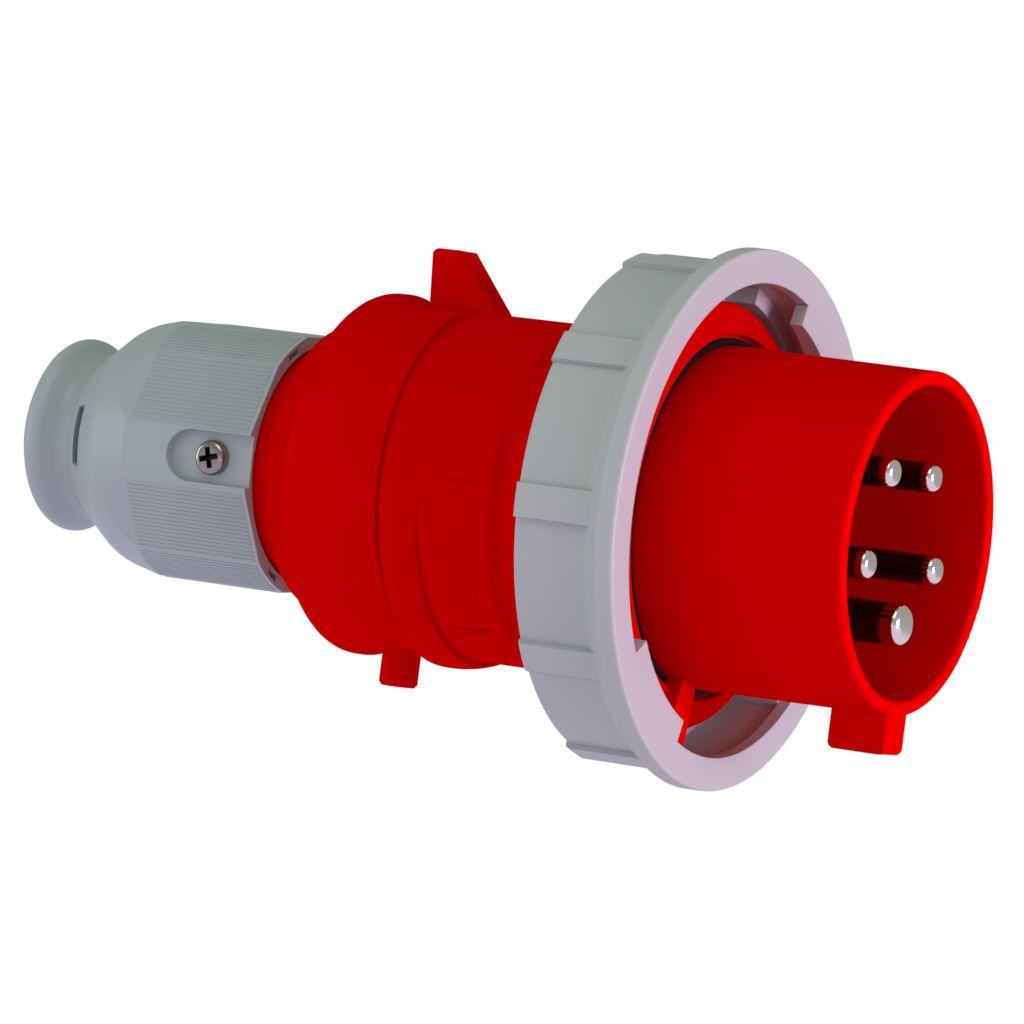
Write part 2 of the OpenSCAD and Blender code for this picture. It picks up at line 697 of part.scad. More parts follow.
module nut_body() {
  // flats, blunted corners and the front of the dome
  intersection() {
    hexagon(nut_r, nut_front, crown_front + 2);
    turned([[0, nut_front], [corner_r, nut_front], [corner_r, dome_x],
            [crown_front_r, crown_front], [0, crown_front]]);
  }
  // crown, throat and bell
  rotate([0, 90, 0]) rotate_extrude() {
    intersection() {
      translate([crown_front_r - dome_round * cos(dome_tilt),
                 -crown_front + dome_round * sin(dome_tilt)])
        circle(r = dome_round, $fn = 180);
      translate([0, -crown_back]) square([corner_r, crown_back - crown_front]);
    }
    // core that joins the pieces
    polygon([[0, -crown_front + 2], [crown_back_r - 1, -crown_front + 2],
             [crown_back_r - 1, -crown_back], [throat_r - 0.5, -throat_front],
             [throat_r - 0.5, -rim_start], [0, -rim_start]]);
    polygon([[0, -crown_back], [crown_back_r, -crown_back], [throat_front_r, -throat_front],
             [0, -throat_front]]);
    difference() {
      translate([0, -throat_back])
        square([throat_front_r + throat_round / 2, throat_back - throat_front]);
      translate([throat_front_r + throat_round * cos(dome_fall),
                 -throat_front - throat_round * sin(dome_fall)]) circle(r = throat_round);
    }
    polygon([[0, -throat_back], [throat_back_r, -throat_back], [bell_front_r, -bell_front],
             [0, -bell_front]]);
    intersection() {
      translate([bell_core_r, -bell_setback]) circle(r = bell_round);
      translate([0, -rim_start]) square([bell_r + 1, rim_start - bell_front]);
    }
    polygon([[0, -rim_start], [rim_start_r, -rim_start], [rim_end_r, -bell_back],
             [0, -bell_back]]);
  }
}

module gland_nut() color(blue_grey) difference() {
  nut_body();
  turned([[0, nut_front - 1], [nut_mouth_r + 0.3, nut_front - 1],
          [nut_mouth_r + 0.3, nut_front], [nut_mouth_r, nut_front + 0.3],
          [nut_mouth_r, thread_start], [nut_thread_r, thread_start + 0.8],
          [nut_thread_r, nut_seat], [seat_r, nut_seat], [seat_r, cone_start],
          [cone_r, cone_end], [cable_hole_r, cone_end + 0.6], [cable_hole_r, bell_back - 4],
          [cable_hole_r + 0.7, bell_back - 1.8], [cable_hole_r + 2.1, bell_back + 0.1],
          [0, bell_back + 0.1]]);
  // flat panel for the lock screw, round at its rear end
  rotate([panel_angle - 90, 0, 0]) {
    translate([-panel_x + panel_half, -panel_half, panel_floor])
      cube([panel_x - panel_half - nut_front + 1, 2 * panel_half, 5]);
    translate([-panel_x + panel_half, 0, panel_floor]) cylinder(r = panel_half, h = 5, $fn = 48);
  }
  spoke(panel_angle, lock_x, lock_shank_r + fit_gap, lock_tip, corner_r, 24);
  // small pockets at the corners of the front face
  for (i = [0 : 5]) if (i != 3) rotate([3 + 60 * i, 0, 0])
    translate([-nut_front - pocket_depth, nut_mouth_r + 0.7, -1.6]) cube([2, 1.2, 3.2]);
  // two narrow windows in the dome
  for (angle = [0, 180])
    sector(band(cable_hole_r - 1, corner_r + 3, slot_x - slot_width / 2, slot_x + slot_width / 2),
           angle - slot_half, 2 * slot_half);
}

module lock_screw() color(bright) difference() {
  union() {
    spoke(panel_angle, lock_x, lock_shank_r, lock_tip, panel_floor + 0.2, 24);
    rotate([panel_angle - 90, 0, 0]) translate([-lock_x, 0, panel_floor + 0.05]) intersection() {
      cylinder(r = lock_head_r, h = lock_head_h, $fn = 48);
      translate([0, 0, lock_head_h - 5.2]) sphere(r = 5.2, $fn = 64);
    }
  }
  for (turn = [20, 110]) rotate([panel_angle - 90, 0, 0])
    translate([-lock_x, 0, panel_floor + lock_head_h - 0.75]) rotate([0, 0, turn])
      translate([-1.7, -0.4, 0]) cube([3.4, 0.8, 2]);
}

module slip_ring() color(brass) turned(band(slip_inner, slip_outer, slip_front, slip_back));

module clamp_collet() color(pale_grey) difference() {
  turned([[collet_inner, collet_front + 0.05], [seat_r - 0.3, collet_front + 0.05],
          [seat_r - 0.3, cone_start], [cone_r - 0.1, collet_back], [collet_inner, collet_back]]);
  for (i = [0 : collet_fingers - 1]) rotate([360 * i / collet_fingers + 10, 0, 0])
    translate([-collet_back - 1, 10, -finger_gap / 2])
      cube([collet_back + 1 - collet_front - collet_ring, 12, finger_gap]);
}

module cable_grommet() color(black)
  turned([[grommet_bore_r, grommet_front], [grommet_r - 0.6, grommet_front],
          [grommet_r, grommet_front + 0.6], [grommet_r, slip_back - 0.6],
          [grommet_tail_r, slip_back + 0.2], [grommet_tail_r, grommet_back],
          [grommet_bore_r, grommet_back]]);

front_shell();
locking_ring();
ring_retainer();
face_gasket();
contact_carrier();
contact_pin(342, pin_r, pin_setback, terminal_r, terminal_neck_r);  // pin_l1
contact_pin(54, pin_r, pin_setback, terminal_r, terminal_neck_r);  // pin_l2
contact_pin(126, pin_r, pin_setback, terminal_r, terminal_neck_r);  // pin_l3
contact_pin(198, pin_r, pin_setback, terminal_r, terminal_neck_r);  // pin_neutral
contact_pin(270, earth_r, earth_setback, earth_terminal_r, earth_neck_r);  // pin_earth
terminal_screws();
earth_terminal_screw();
retainer_plate();
carrier_screws();
lock_peg();
peg_spring();
housing_seal();
rear_housing();
neck_o_ring();
gland_nut();
lock_screw();
slip_ring();
clamp_collet();
cable_grommet();
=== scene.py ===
# %% [markdown]
# # An industrial pin and sleeve plug
# The solids of this plug come from its construction: a red front shell with the shroud and the
# pins, a grey locking ring that turns on it, a red rear housing and a grey cable gland. This
# lesson dresses them. It sets a camera and a soft studio, makes the moulded plastics, the rubber
# and the nickel, and models the small things that only the eye needs.

import json
import math

import bpy
from mathutils import Matrix, Vector


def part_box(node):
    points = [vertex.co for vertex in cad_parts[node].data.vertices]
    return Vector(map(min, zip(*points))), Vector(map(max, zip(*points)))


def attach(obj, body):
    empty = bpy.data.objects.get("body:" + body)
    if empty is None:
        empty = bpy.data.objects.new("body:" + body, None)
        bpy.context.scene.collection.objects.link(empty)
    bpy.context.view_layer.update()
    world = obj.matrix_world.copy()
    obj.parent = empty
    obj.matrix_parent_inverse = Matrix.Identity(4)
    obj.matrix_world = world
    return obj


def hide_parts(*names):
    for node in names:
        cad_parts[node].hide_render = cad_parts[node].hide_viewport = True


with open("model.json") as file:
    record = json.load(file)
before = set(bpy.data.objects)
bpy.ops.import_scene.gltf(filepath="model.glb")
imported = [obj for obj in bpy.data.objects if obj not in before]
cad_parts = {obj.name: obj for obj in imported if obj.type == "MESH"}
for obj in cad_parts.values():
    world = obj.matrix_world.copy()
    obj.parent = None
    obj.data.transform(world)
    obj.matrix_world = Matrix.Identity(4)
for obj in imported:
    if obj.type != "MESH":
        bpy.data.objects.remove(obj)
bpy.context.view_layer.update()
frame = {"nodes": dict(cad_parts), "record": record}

# %% Units and small helpers
MM = 0.001


def to_linear(code):
    """A colour written as sRGB hex, turned to the linear values that shaders work in."""
    values = [int(code[i:i + 2], 16) / 255 for i in (1, 3, 5)]
    return [v / 12.92 if v <= 0.04045 else ((v + 0.055) / 1.055) ** 2.4 for v in values] + [1]


def deselect():
    """Nothing selected, nothing active, object mode."""
    if bpy.context.object and bpy.context.object.mode != "OBJECT":
        bpy.ops.object.mode_set(mode="OBJECT")
    bpy.ops.object.select_all(action="DESELECT")


deselect()
print("pure red in linear light:", to_linear("#ff0000")[:3])

# %% [markdown]
# ## Camera
# A long lens a metre away keeps the plug's proportions, as in a catalogue. The camera looks at
# the plug from its side and a little from the front, nearly level, and is turned a few degrees
# about its own axis, so that the plug seems to dip towards its mouth. The plug stays where its
# construction has it, and only the camera moves.

# %% Place the camera
AZIMUTH, ELEVATION, ROLL = 28.83, 0.68, 7.18
CAMERA_PLACE = (0.4240, -0.9081, 0.0088)
LENS_MM, SENSOR_MM = 216.6, 36

azimuth, elevation = math.radians(AZIMUTH), math.radians(ELEVATION)
forward = Vector((-math.sin(azimuth) * math.cos(elevation),
                  math.cos(azimuth) * math.cos(elevation), -math.sin(elevation)))
turn = forward.to_track_quat("-Z", "Y").to_matrix() @ Matrix.Rotation(math.radians(ROLL), 3, "Z")
deselect()
bpy.ops.object.camera_add(location=CAMERA_PLACE, rotation=turn.to_euler())
camera = bpy.context.object
camera.data.lens = LENS_MM
camera.data.sensor_width = SENSOR_MM
camera.data.clip_start, camera.data.clip_end = 0.05, 20
bpy.context.scene.camera = camera
print("camera is", round(camera.location.length, 3), "m from the shroud's mouth")

# %% [markdown]
# ## Studio
# Moulded plastic shows its form through broad, soft light, as in a tent of white cloth. A pale
# world and a glowing floor light the plug from all round. A soft lamp from above shapes its
# upper side, one from the front reaches down into the shroud, one from behind lifts the cable
# end, and a faint low one the underside. The world and the floor are plain white where the
# camera or clear glass sees them, and dimmer where they light the plug, so that the colours stay
# as they are written.

# %% Colours are shown as they are
bpy.context.scene.view_settings.view_transform = "Standard"
print("view transform:", bpy.context.scene.view_settings.view_transform)


# %% One function that adds a node
def node(tree, kind, settings=None, **links):
    """Adds a node with its settings and its inputs. An input takes a value or another socket."""
    made = tree.nodes.new(kind)
    for name, value in (settings or {}).items():
        setattr(made, name, value)
    for name, value in links.items():
        key = int(name[1:]) if name[0] == "_" and name[1:].isdigit() else name.replace("_", " ")
        if isinstance(value, bpy.types.NodeSocket):
            tree.links.new(value, made.inputs[key])
        else:
            made.inputs[key].default_value = value
    return made


# %% World: white to look at, softer as a light
def seen_rays(tree):
    """1 for a ray from the camera or through glass, 0 for any other, and the Light Path node."""
    path = node(tree, "ShaderNodeLightPath")
    either = node(tree, "ShaderNodeMath", {"operation": "MAXIMUM"},
                  _0=path.outputs["Is Camera Ray"], _1=path.outputs["Is Transmission Ray"])
    return either.outputs[0], path


world = bpy.data.worlds.new("pale studio")
bpy.context.scene.world = world
world.use_nodes = True
tree = world.node_tree
tree.nodes.clear()
seen, path = seen_rays(tree)
light = node(tree, "ShaderNodeBackground", Color=to_linear("#f8fffc"), Strength=0.42)
mirror = node(tree, "ShaderNodeBackground", Color=to_linear("#ffffff"), Strength=0.4)
white = node(tree, "ShaderNodeBackground", Color=to_linear("#ffffff"), Strength=1.0)
glossy = node(tree, "ShaderNodeMixShader", _0=path.outputs["Is Glossy Ray"],
              _1=light.outputs[0], _2=mirror.outputs[0])
mixed = node(tree, "ShaderNodeMixShader", _0=seen, _1=glossy.outputs[0], _2=white.outputs[0])
node(tree, "ShaderNodeOutputWorld", Surface=mixed.outputs[0])
print("world nodes:", len(tree.nodes))

# %% Floor, well below the plug, so that nothing shows on it
FLOOR_Z = -0.16
deselect()
bpy.ops.mesh.primitive_plane_add(size=6, location=(0, 0, FLOOR_Z))
floor = bpy.context.object
floor.name = "studio_floor"
material = bpy.data.materials.new("glowing white floor")
material.use_nodes = True
tree = material.node_tree
tree.nodes.clear()
seen, _ = seen_rays(tree)
cloth = node(tree, "ShaderNodeEmission", Color=to_linear("#d6cde4"), Strength=1.15)
glow = node(tree, "ShaderNodeEmission", Color=to_linear("#ffffff"), Strength=1.0)
clear = node(tree, "ShaderNodeBsdfTransparent")
top = node(tree, "ShaderNodeMixShader", _0=seen, _1=cloth.outputs[0], _2=glow.outputs[0])
back = node(tree, "ShaderNodeNewGeometry")
both = node(tree, "ShaderNodeMixShader", _0=back.outputs["Backfacing"], _1=top.outputs[0],
            _2=clear.outputs[0])
node(tree, "ShaderNodeOutputMaterial", Surface=both.outputs[0])
floor.data.materials.append(material)
print("floor lies at", round(1000 * floor.location.z), "mm")


# %% Lamps
def lamp(name, place, aim, size, watts, code):
    """A square soft lamp that looks at a point, with its light's colour."""
    deselect()
    aim, place = Vector(aim), Vector(place)
    bpy.ops.object.light_add(type="AREA", location=place,
                             rotation=(aim - place).to_track_quat("-Z", "Y").to_euler())
    made = bpy.context.object
    made.name = name
    made.data.shape = "SQUARE"
    made.data.size = size
    made.data.energy = watts
    made.data.color = to_linear(code)[:3]
    return made


middle = (-0.08, 0, 0)        # the plug's middle, which every lamp looks at
lamp("soft_box_above", (0.1, -0.7, 0.95), middle, 0.7, 3.4, "#ecfff0")
lamp("soft_box_front", (1.1, -0.15, 0.0), middle, 0.6, 15.5, "#ffdcff")
lamp("soft_box_side", (-1.1, -0.5, 0.0), middle, 0.6, 3.2, "#e8fff6")
lamp("soft_box_low", (0.0, -0.9, -0.13), middle, 0.4, 0.6, "#f4ecff")

# %% [markdown]
# ## Moulded polyamide
# The housings are injection moulded glass-filled polyamide. The mould is spark eroded, which
# leaves a fine even grain and a satin sheen, and every edge comes out slightly round. The grain
# is drawn as a bump from a noise of half a millimetre, coarser than the real one so that it
# shows at all. The round edges come from a Bevel node, which bends the normals at each edge and
# leaves the solids alone. The seals are nitrile rubber, which is deep black and nearly matt.

# %% Plastic that takes its colour and grain as values
CLOUD_MM = 14                 # size of the soft patches in which colour and gloss wander
GRAIN_STRENGTH, GRAIN_DEPTH = 0.35, 0.02
GLOSS_SPREAD = 0.05           # how far the roughness wanders to both sides


def plastic(name, code, roughness, specular, lustre, edge_mm, spread, grain_mm=0.5):
    """Moulded plastic. Lustre is a share of reflection in the plastic's own colour, which deep
    pigments show, and spread is how far the colour wanders, as a share."""
    made = bpy.data.materials.new(name)
    made.use_nodes = True
    tree = made.node_tree
    tree.nodes.clear()
    place = node(tree, "ShaderNodeTexCoord").outputs["Object"]
    cloud = node(tree, "ShaderNodeTexNoise", Vector=place, Scale=1 / (CLOUD_MM * MM), Detail=3)
    grain = node(tree, "ShaderNodeTexNoise", Vector=place, Scale=1 / (grain_mm * MM), Detail=2)
    edge = node(tree, "ShaderNodeBevel", {"samples": 4}, Radius=edge_mm * MM)
    bump = node(tree, "ShaderNodeBump", Height=grain.outputs["Fac"], Strength=GRAIN_STRENGTH,
                Distance=GRAIN_DEPTH * MM, Normal=edge.outputs[0])
    base = to_linear(code)
    dark = [v * (1 - spread) for v in base[:3]] + [1]
    pale = [min(1, v * (1 + spread)) for v in base[:3]] + [1]
    colour = node(tree, "ShaderNodeMix", {"data_type": "RGBA"}, _0=cloud.outputs["Fac"],
                  _6=dark, _7=pale)
    gloss = node(tree, "ShaderNodeMapRange", _0=cloud.outputs["Fac"],
                 _3=roughness - GLOSS_SPREAD, _4=roughness + GLOSS_SPREAD)
    skin = node(tree, "ShaderNodeBsdfPrincipled", Base_Color=colour.outputs[2],
                Roughness=gloss.outputs[0], Normal=bump.outputs[0])
    skin.inputs["Specular IOR Level"].default_value = specular
    sheen = node(tree, "ShaderNodeBsdfAnisotropic", Color=base, Roughness=roughness * 0.8,
                 Normal=bump.outputs[0])
    both = node(tree, "ShaderNodeMixShader", _0=lustre, _1=skin.outputs[0], _2=sheen.outputs[0])
    node(tree, "ShaderNodeOutputMaterial", Surface=both.outputs[0])
    return made


red_polyamide = plastic("red moulded polyamide", "#d20000", roughness=0.45, specular=0.0,
                        lustre=0.12, edge_mm=0.6, spread=0.04, grain_mm=0.45)
grey_polyamide = plastic("pale grey moulded polyamide", "#adb0ad", roughness=0.5,
                         specular=0.25, lustre=0.02, edge_mm=0.35, spread=0.02)
gland_polyamide = plastic("blue grey moulded polyamide", "#a1aaa9", roughness=0.42,
                          specular=0.35, lustre=0.02, edge_mm=0.25, spread=0.03)
# The collet's near-black colour is painted shade, so that the window through the nut reads dark.
collet_polyamide_painted_shade = plastic("grey polyamide painted dark as shade", "#2e3030", roughness=0.6,
                              specular=0.2, lustre=0.0, edge_mm=0.25, spread=0.05)
black_polyamide = plastic("black moulded polyamide", "#1c1c1e", roughness=0.5,
                          specular=0.4, lustre=0.0, edge_mm=0.25, spread=0.1, grain_mm=0.45)
black_rubber = plastic("black nitrile rubber", "#0c0a0a", roughness=0.7, specular=0.15,
                       lustre=0.0, edge_mm=0.1, spread=0.1, grain_mm=0.6)
print("plastics made:", sum("polyamide" in m.name for m in bpy.data.materials))

# %% [markdown]
# ## Nickel and zinc
# The pins are turned brass with a nickel plating, bright and a little warm. Turning leaves fine
# rings round the pin, so the roughness wanders along its length. The nose is polished, and the
# shank behind it is rougher and painted darker and reddish, as painted shade and a painted
# reflection of the red shroud round it. The screws are zinc plated steel, greyer than nickel, and
# the recess of the one that shows is painted dark as shade. The slip ring deep inside stays plain
# turned brass.

# %% Plated metal
SHADE_FROM, SHADE_TO = -4.3, -3.7           # where the bright nose turns into the shank with painted shade
WORN = 0.1                                # how much rougher the shank is
RING_STRENGTH, RING_DEPTH = 0.15, 0.01    # of the turning marks


def plated(name, code, roughness, ring_mm, shank_shade=None):
    """Bright plating over a turned surface, with an optional painted shade colour on the shank."""
    made = bpy.data.materials.new(name)
    made.use_nodes = True
    tree = made.node_tree
    tree.nodes.clear()
    place = node(tree, "ShaderNodeTexCoord").outputs["Object"]
    stretched = node(tree, "ShaderNodeMapping", Vector=place, Scale=(1, 0.05, 0.05))
    rings = node(tree, "ShaderNodeTexNoise", Vector=stretched.outputs[0],
                 Scale=1 / (ring_mm * MM), Detail=1)
    gloss = node(tree, "ShaderNodeMapRange", _0=rings.outputs["Fac"], _3=roughness * 0.7,
                 _4=roughness * 1.4)
    bump = node(tree, "ShaderNodeBump", Height=rings.outputs["Fac"], Strength=RING_STRENGTH,
                Distance=RING_DEPTH * MM)
    skin = node(tree, "ShaderNodeBsdfPrincipled", Base_Color=to_linear(code), Metallic=1.0,
                Roughness=gloss.outputs[0], Normal=bump.outputs[0])
    # The shank behind the nose gets a darker colour, which is painted shade and a reddish painted
    # reflection of the shroud; it is also made rougher.
    if shank_shade:
        along = node(tree, "ShaderNodeSeparateXYZ", Vector=place).outputs["X"]
        fade = node(tree, "ShaderNodeMapRange", _0=along, _1=SHADE_FROM * MM, _2=SHADE_TO * MM)
        tone = node(tree, "ShaderNodeMix", {"data_type": "RGBA"}, _0=fade.outputs[0],
                    _6=to_linear(shank_shade), _7=to_linear(code))
        tree.links.new(tone.outputs[2], skin.inputs["Base Color"])
        worn = node(tree, "ShaderNodeMapRange", _0=fade.outputs[0], _3=WORN, _4=0.0)
        total = node(tree, "ShaderNodeMath", {"operation": "ADD"}, _0=gloss.outputs[0],
                     _1=worn.outputs[0])
        tree.links.new(total.outputs[0], skin.inputs["Roughness"])
    node(tree, "ShaderNodeOutputMaterial", Surface=skin.outputs[0])
    return made


# The dark reddish shank colour is painted shade and a painted reflection of the red shroud.
nickel = plated("nickel plated brass", "#e6e2dc", roughness=0.13, ring_mm=0.3, shank_shade="#523c3c")
zinc = plated("zinc plated steel", "#9a948e", roughness=0.2, ring_mm=0.4)
# A dark brown zinc for the faces in the screw's recess, which is painted shade.
zinc_painted_shade = plated("zinc painted with shade in the recess", "#3a2a1e", roughness=0.4, ring_mm=0.4)
turned_brass = plated("turned brass", "#d9b56a", roughness=0.3, ring_mm=0.3)
print("metals made: 4")

# %% [markdown]
# ## Finish of each solid
# Each solid of the construction keeps its shape and gets its material here.

# %% Hand out the materials
finish_of = {
    "front_shell": red_polyamide, "ring_retainer": red_polyamide, "lock_peg": red_polyamide,
    "rear_housing": red_polyamide, "locking_ring": grey_polyamide,
    # The collet's dark colour is painted shade, seen through the nut's window.
    "retainer_plate": grey_polyamide, "clamp_collet": collet_polyamide_painted_shade,
    "gland_nut": gland_polyamide, "contact_carrier": black_polyamide,
    "face_gasket": black_rubber, "housing_seal": black_rubber, "neck_o_ring": black_rubber,
    "cable_grommet": black_rubber, "pin_l1": nickel, "pin_l2": nickel, "pin_l3": nickel,
    "pin_neutral": nickel, "pin_earth": nickel, "terminal_screws": zinc,
    "earth_terminal_screw": zinc, "carrier_screws": zinc, "peg_spring": zinc,
    "lock_screw": zinc, "slip_ring": turned_brass,
}
for name, solid in frame["nodes"].items():
    solid.data.materials.clear()
    solid.data.materials.append(finish_of[name])
print("solids dressed:", len(frame["nodes"]))

# %% [markdown]
# ## Contact pins
# A contact pin is turned on a lathe. Its nose is part of an ellipse, so that it finds its way
# into the socket's sleeve, and the highlight runs round it without a break. Each pin is drawn
# from a filled circle that is extruded ring by ring: the nose, the long shank, the thin part in
# the floor, the terminal's barrel and the blind hole for the wire. The pin's place and radius
# come from the mounts of the construction.

# %% A turned piece, ring by ring
def turned_piece(name, rings, centre=(0, 0), sides=64):
    """A solid of revolution along the plug. Rings are (distance behind the mouth, radius) in mm."""
    deselect()
    place, radius = rings[0]
    bpy.ops.mesh.primitive_circle_add(vertices=sides, radius=radius * MM, fill_type="NGON",
                                      location=(-place * MM, *centre),
                                      rotation=(0, math.radians(90), 0))
    made = bpy.context.object
    made.name = name
    bpy.ops.object.mode_set(mode="EDIT")
    bpy.ops.mesh.select_all(action="SELECT")
    for (x0, r0), (x1, r1) in zip(rings, rings[1:]):
        bpy.ops.mesh.extrude_region_move(
            TRANSFORM_OT_translate={"value": ((x0 - x1) * MM, 0, 0)})
        bpy.ops.transform.resize(value=(1, r1 / r0, r1 / r0),
                                 center_override=(-x1 * MM, *centre))
    bpy.ops.mesh.select_all(action="SELECT")
    bpy.ops.mesh.normals_make_consistent(inside=False)
    bpy.ops.object.mode_set(mode="OBJECT")
    bpy.ops.object.transform_apply(location=True, rotation=True, scale=True)
    bpy.ops.object.shade_smooth_by_angle(angle=math.radians(32))
    return made


def finish_piece(piece, body, finish, stands_for=None):
    """Dresses a piece, lets it ride on a body and hides the solid that it stands for."""
    piece.data.materials.clear()
    piece.data.materials.append(finish)
    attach(piece, body)
    if stands_for:
        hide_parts(stands_for)


print("ready to turn pieces")

# %% The five pins
mounts = {mount["name"]: mount for mount in frame["record"]["mounts"]}
NOSE = 1.5                    # length of the nose
FLAT_SHARE = 0.58             # radius of the flat at its tip, as a share of the pin's
STEP = 0.3                    # how much thinner the pin is in the floor
COLLAR_BEHIND_FLOOR = 8.05    # from the floor to the terminal's front shoulder
BARREL_STEP = 0.6             # how much thinner the terminal is behind its carrier
CARRIER_CLEAR, CHAMFER = 0.05, 0.4
WIRE_R, WIRE_DEPTH = 2.1, 12.0


def pin_rings(node_name, mount):
    """The rings of one pin, from its tip to the bottom of the hole for the wire."""
    low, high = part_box(node_name)
    r = mount["dims"]["r_mm"]
    tip, rear = -high[0] / MM, -low[0] / MM
    floor_x = -mount["pos_m"][0] / MM + mount["dims"]["length_mm"] / 2
    barrel = (high[1] - low[1]) / 2 / MM
    carrier_rear = -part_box("contact_carrier")[0][0] / MM - CARRIER_CLEAR
    flat = FLAT_SHARE * r
    nose = [(tip + NOSE * (1 - math.cos(t)), flat + (r - flat) * math.sin(t))
            for t in (math.radians(a) for a in range(0, 91, 9))]
    neck = barrel - BARREL_STEP
    return [*nose, (floor_x, r), (floor_x, r - STEP),
            (floor_x + COLLAR_BEHIND_FLOOR, r - STEP), (floor_x + COLLAR_BEHIND_FLOOR, barrel),
            (carrier_rear, barrel), (carrier_rear, neck), (rear - CHAMFER, neck),
            (rear, neck - CHAMFER), (rear, WIRE_R), (rear - WIRE_DEPTH, WIRE_R)]


for pole in ("l1", "l2", "l3", "neutral", "earth"):
    mount = mounts["contact_" + pole]
    pin = turned_piece("contact_pin_" + pole, pin_rings("pin_" + pole, mount),
                       centre=tuple(mount["pos_m"][1:]))
    finish_piece(pin, "plug", nickel, "pin_" + pole)
print("vertices of the last pin:", len(pin.data.vertices))

# %% [markdown]
# ## Lock screw
# A small pan head screw stops the gland nut from working loose. Its cross recess tapers to its
# bottom, so it is cut with two tapered bars, and its faces get a dark zinc as painted shade. The
# screw is turned along the plug first, and is then swung out to the nut's corner that it sits in.

# %% Turn the screw, cut its recess and seat it
SCREW_ANGLE = 182             # where the screw sits round the nut, in degrees
SEAT, HEAD_H, HEAD_R = 21.25, 1.8, 3.0    # where the head sits, its height and radius
SHANK_R, SHANK_END = 1.4, 17.6
CROWN_H, CROWN_R = 1.1, 0.9               # height and width of the head's rounding
CROSS_TOP, CROSS_FOOT = 1.95, 0.9         # half a bar's length at its top and its foot
CROSS_THIN, CROSS_DEPTH, CROSS_TURN = 0.27, 1.5, -15    # a bar's width as a share of its length
CROSS_ABOVE = 0.2                         # how far a bar stands out of the head


def swing_out(piece, angle, place):
    """Turns a piece that lies along the plug so that it points away from the axis."""
    piece.matrix_world = (Matrix.Translation((-place * MM, 0, 0))
                          @ Matrix.Rotation(math.radians(angle - 180), 4, "X")
                          @ Matrix.Rotation(math.radians(90), 4, "Z"))
    deselect()
    piece.select_set(True)
    bpy.context.view_layer.objects.active = piece
    bpy.ops.object.transform_apply(location=True, rotation=True, scale=True)


def cut(piece, cutter):
    """Takes the cutter out of the piece and throws the cutter away."""
    taken = piece.modifiers.new("cut", "BOOLEAN")
    taken.operation, taken.solver, taken.object = "DIFFERENCE", "EXACT", cutter
    deselect()
    bpy.context.view_layer.objects.active = piece
    piece.select_set(True)
    bpy.ops.object.modifier_apply(modifier=taken.name)
    bpy.data.objects.remove(cutter, do_unlink=True)


crown = [(SEAT + HEAD_H - CROWN_H * (1 - math.sin(t)), HEAD_R - CROWN_R * (1 - math.cos(t)))
         for t in (math.radians(a) for a in range(0, 91, 15))]
screw = turned_piece("cross_recess_screw",
                     [(SHANK_END, SHANK_R), (SEAT, SHANK_R), (SEAT, HEAD_R), *crown])
bar_x = CROSS_DEPTH / 2 - SEAT - HEAD_H - CROSS_ABOVE
for quarter in (0, 90):
    deselect()
    bpy.ops.mesh.primitive_cone_add(vertices=4, radius1=CROSS_TOP * math.sqrt(2) * MM,
                                    radius2=CROSS_FOOT * math.sqrt(2) * MM,
                                    depth=CROSS_DEPTH * MM, rotation=(0, 0, math.radians(45)))
    bar = bpy.context.object
    bpy.ops.object.transform_apply(location=True, rotation=True, scale=True)
    bar.scale = (1, CROSS_THIN, 1)
    bpy.ops.object.transform_apply(location=True, rotation=True, scale=True)
    bar.matrix_world = (Matrix.Translation((bar_x * MM, 0, 0))
                        @ Matrix.Rotation(math.radians(CROSS_TURN + quarter), 4, "X")
                        @ Matrix.Rotation(math.radians(90), 4, "Y"))
    cut(screw, bar)
recess = [face.index for face in screw.data.polygons
          if SEAT + 0.2 < -face.center.x / MM < SEAT + HEAD_H - 0.02
          and math.hypot(face.center.y, face.center.z) < (HEAD_R - CROWN_R) * MM]
lock_low, lock_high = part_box("lock_screw")
swing_out(screw, SCREW_ANGLE, -(lock_low[0] + lock_high[0]) / 2 / MM)
finish_piece(screw, "plug", zinc, "lock_screw")
# The recess faces get the dark zinc, which is painted shade in the recess.
screw.data.materials.append(zinc_painted_shade)
for index in recess:
    screw.data.polygons[index].material_index = 1
print("faces in the cross recess:", len(recess))

# %% [markdown]
# ## Gasket cord
# The gasket in the flange is a round rubber cord at the bottom of its groove. It stops on both
# sides of the stop lug, so it is a small disc that is spun round the plug for less than a full
# turn. The groove's place comes from the solid that the cord stands for.

# %% Spin the cord
CORD_R, GROOVE_W = 0.62, 1.75             # radius of the cord, width of its groove
LUG_ANGLE, LUG_HALF = 255, 6              # middle of the stop lug, degrees kept free on a side
gasket_low, gasket_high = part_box("face_gasket")
cord_ring = gasket_high[1] / MM - GROOVE_W + CORD_R
deselect()
start = math.radians(LUG_ANGLE + LUG_HALF)
bpy.ops.mesh.primitive_circle_add(
    vertices=20, radius=CORD_R * MM, fill_type="NGON", rotation=(start, 0, 0),
    location=(gasket_low[0] + CORD_R * MM, cord_ring * math.cos(start) * MM,
              cord_ring * math.sin(start) * MM))
cord = bpy.context.object
cord.name = "face_gasket_cord"
bpy.ops.object.transform_apply(location=True, rotation=True, scale=True)
bpy.ops.object.mode_set(mode="EDIT")
bpy.ops.mesh.select_all(action="SELECT")
bpy.ops.mesh.spin(steps=150, angle=-math.radians(360 - 2 * LUG_HALF), center=(0, 0, 0),
                  axis=(1, 0, 0))
bpy.ops.mesh.select_all(action="SELECT")
bpy.ops.mesh.normals_make_consistent(inside=False)
bpy.ops.object.mode_set(mode="OBJECT")
bpy.ops.object.shade_smooth_by_angle(angle=math.radians(40))
